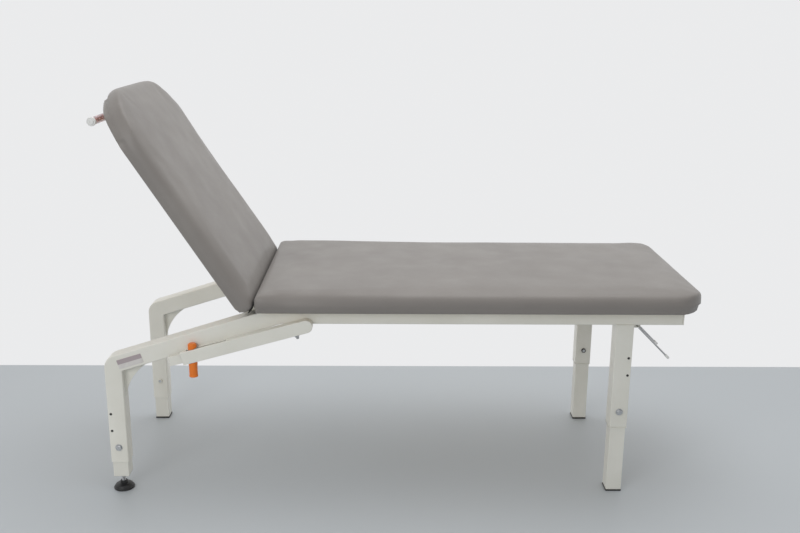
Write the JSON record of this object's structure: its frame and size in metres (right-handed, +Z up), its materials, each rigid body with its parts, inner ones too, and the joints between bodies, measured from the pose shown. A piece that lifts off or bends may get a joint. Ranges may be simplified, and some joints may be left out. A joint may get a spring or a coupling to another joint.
{
  "type": "examination table",
  "caption": "Medical examination table: two padded sections on a tubular steel frame, backrest raised by a gas spring, telescopic legs, sliding release grip.",
  "frame": {"origin": "on the floor, below the centre of the table's box with the backrest raised as at rest", "axes": "+X from the head end to the foot end, +Y to the patient's left, +Z up"},
  "size_m": [1.6876, 0.65, 1.1516],
  "materials": {
    "frame_paint": "satin warm off-white powder coat",
    "upholstery": "taupe grey coated upholstery, soft sheen",
    "plywood": "bare plywood",
    "zinc_steel": "zinc plated",
    "chrome_steel": "polished",
    "black_plastic": "moulded black plastic",
    "black_steel": "black enamel",
    "orange_plastic": "moulded orange plastic",
    "white_plastic": "moulded white plastic",
    "label_foil": "plain blank label",
    "bar_sleeve": "tinted translucent sleeve",
    "screw_black": "black oxide"
  },
  "bodies": {
    "frame": {"right_rail": "frame_paint", "left_rail": "frame_paint", "right_beam": "frame_paint", "left_beam": "frame_paint", "right_head_leg": "frame_paint", "left_head_leg": "frame_paint", "right_foot_leg": "frame_paint", "left_foot_leg": "frame_paint", "head_gussets": "frame_paint", "hinge_crossbar": "frame_paint", "middle_crossbar": "frame_paint", "foot_crossbar": "frame_paint", "rail_plugs": "frame_paint", "label_plate": "label_foil", "seat_board": "plywood", "seat_cushion": "upholstery", "seat_screws": "zinc_steel", "hinge_lugs": "frame_paint", "hinge_pins": "zinc_steel", "gas_cylinder": "black_steel", "gas_end_cap": "zinc_steel", "release_guide": "frame_paint", "guide_plug": "frame_paint", "guide_bolts": "zinc_steel", "release_spring": "zinc_steel", "leg_bolts": "zinc_steel", "leg_nuts": "zinc_steel", "leg_screws": "screw_black", "hanger_bracket": "frame_paint", "hanger_spring": "zinc_steel"},
    "backrest": {"back_hinge_plates": "zinc_steel", "back_board": "plywood", "back_cushion": "upholstery", "back_screws": "zinc_steel", "lift_levers": "zinc_steel", "lift_pin": "zinc_steel", "bar_brackets": "zinc_steel"},
    "rear_bar": {"rear_bar": "bar_sleeve", "bar_caps": "white_plastic"},
    "gas_spring_rod": {"rod_fork": "zinc_steel", "gas_rod": "chrome_steel", "gas_piston": "black_plastic"},
    "release_grip": {"release_bar": "frame_paint", "grip_post": "zinc_steel", "grip_cap": "orange_plastic", "grip_sleeve": "orange_plastic"},
    "valve_lever": {"valve_lever": "zinc_steel"},
    "right_head_foot": {"right_head_inner": "frame_paint", "level_insert": "black_plastic", "level_nut": "zinc_steel"},
    "left_head_foot": {"left_head_inner": "frame_paint", "left_head_cap": "black_plastic"},
    "right_foot_foot": {"right_foot_inner": "frame_paint", "right_foot_cap": "black_plastic"},
    "left_foot_foot": {"left_foot_inner": "frame_paint", "left_foot_cap": "black_plastic"},
    "levelling_pad": {"level_stem": "zinc_steel", "level_pad": "black_plastic"},
    "hanger": {"wire_hanger": "chrome_steel", "wire_tips": "white_plastic"}
  },
  "joints": [
    {"name": "backrest_hinge", "type": "hinge", "parent": "frame", "child": "backrest", "pos_m": [-0.44025, 0, 0.586], "axis": [0, 1, 0], "range_deg": [-57.4, 17.6]},
    {"name": "gas_spring_slide", "type": "slide", "parent": "frame", "child": "gas_spring_rod", "axis": [-1, 0, 0], "range_m": [-0.0662, 0.0205]},
    {"name": "bar_spin", "type": "hinge", "parent": "backrest", "child": "rear_bar", "pos_m": [-0.82881, 0, 1.07108], "axis": [0, 1, 0], "continuous": true},
    {"name": "release_slide", "type": "slide", "parent": "frame", "child": "release_grip", "axis": [0.9636, 0, 0.2672], "range_m": [0, 0.088], "stiffness_N_per_m": 60, "springref_m": -0.05, "deforming": ["release_spring"]},
    {"name": "valve_lever_hinge", "type": "hinge", "parent": "frame", "child": "valve_lever", "pos_m": [-0.13925, 0, 0.523], "axis": [0, 1, 0], "range_deg": [0, 18]},
    {"name": "right_head_leg_slide", "type": "slide", "parent": "frame", "child": "right_head_foot", "axis": [0, 0, -1], "range_m": [0, 0.12]},
    {"name": "left_head_leg_slide", "type": "slide", "parent": "frame", "child": "left_head_foot", "axis": [0, 0, -1], "range_m": [0, 0.12]},
    {"name": "right_foot_leg_slide", "type": "slide", "parent": "frame", "child": "right_foot_foot", "axis": [0, 0, -1], "range_m": [0, 0.12]},
    {"name": "left_foot_leg_slide", "type": "slide", "parent": "frame", "child": "left_foot_foot", "axis": [0, 0, -1], "range_m": [0, 0.12]},
    {"name": "levelling_screw", "type": "slide", "parent": "right_head_foot", "child": "levelling_pad", "axis": [0, 0, -1], "range_m": [0, 0.02]},
    {"name": "hanger_hinge", "type": "hinge", "parent": "frame", "child": "hanger", "pos_m": [0.66275, 0, 0.5095], "axis": [0, 1, 0], "range_deg": [-45, 45]}
  ],
  "couplings": [
    {"joint": "gas_spring_slide", "follows": "backrest_hinge", "m_per_rad": 0.0658},
    {"joint": "valve_lever_hinge", "follows": "release_slide", "rad_per_m": 3.4}
  ]
}
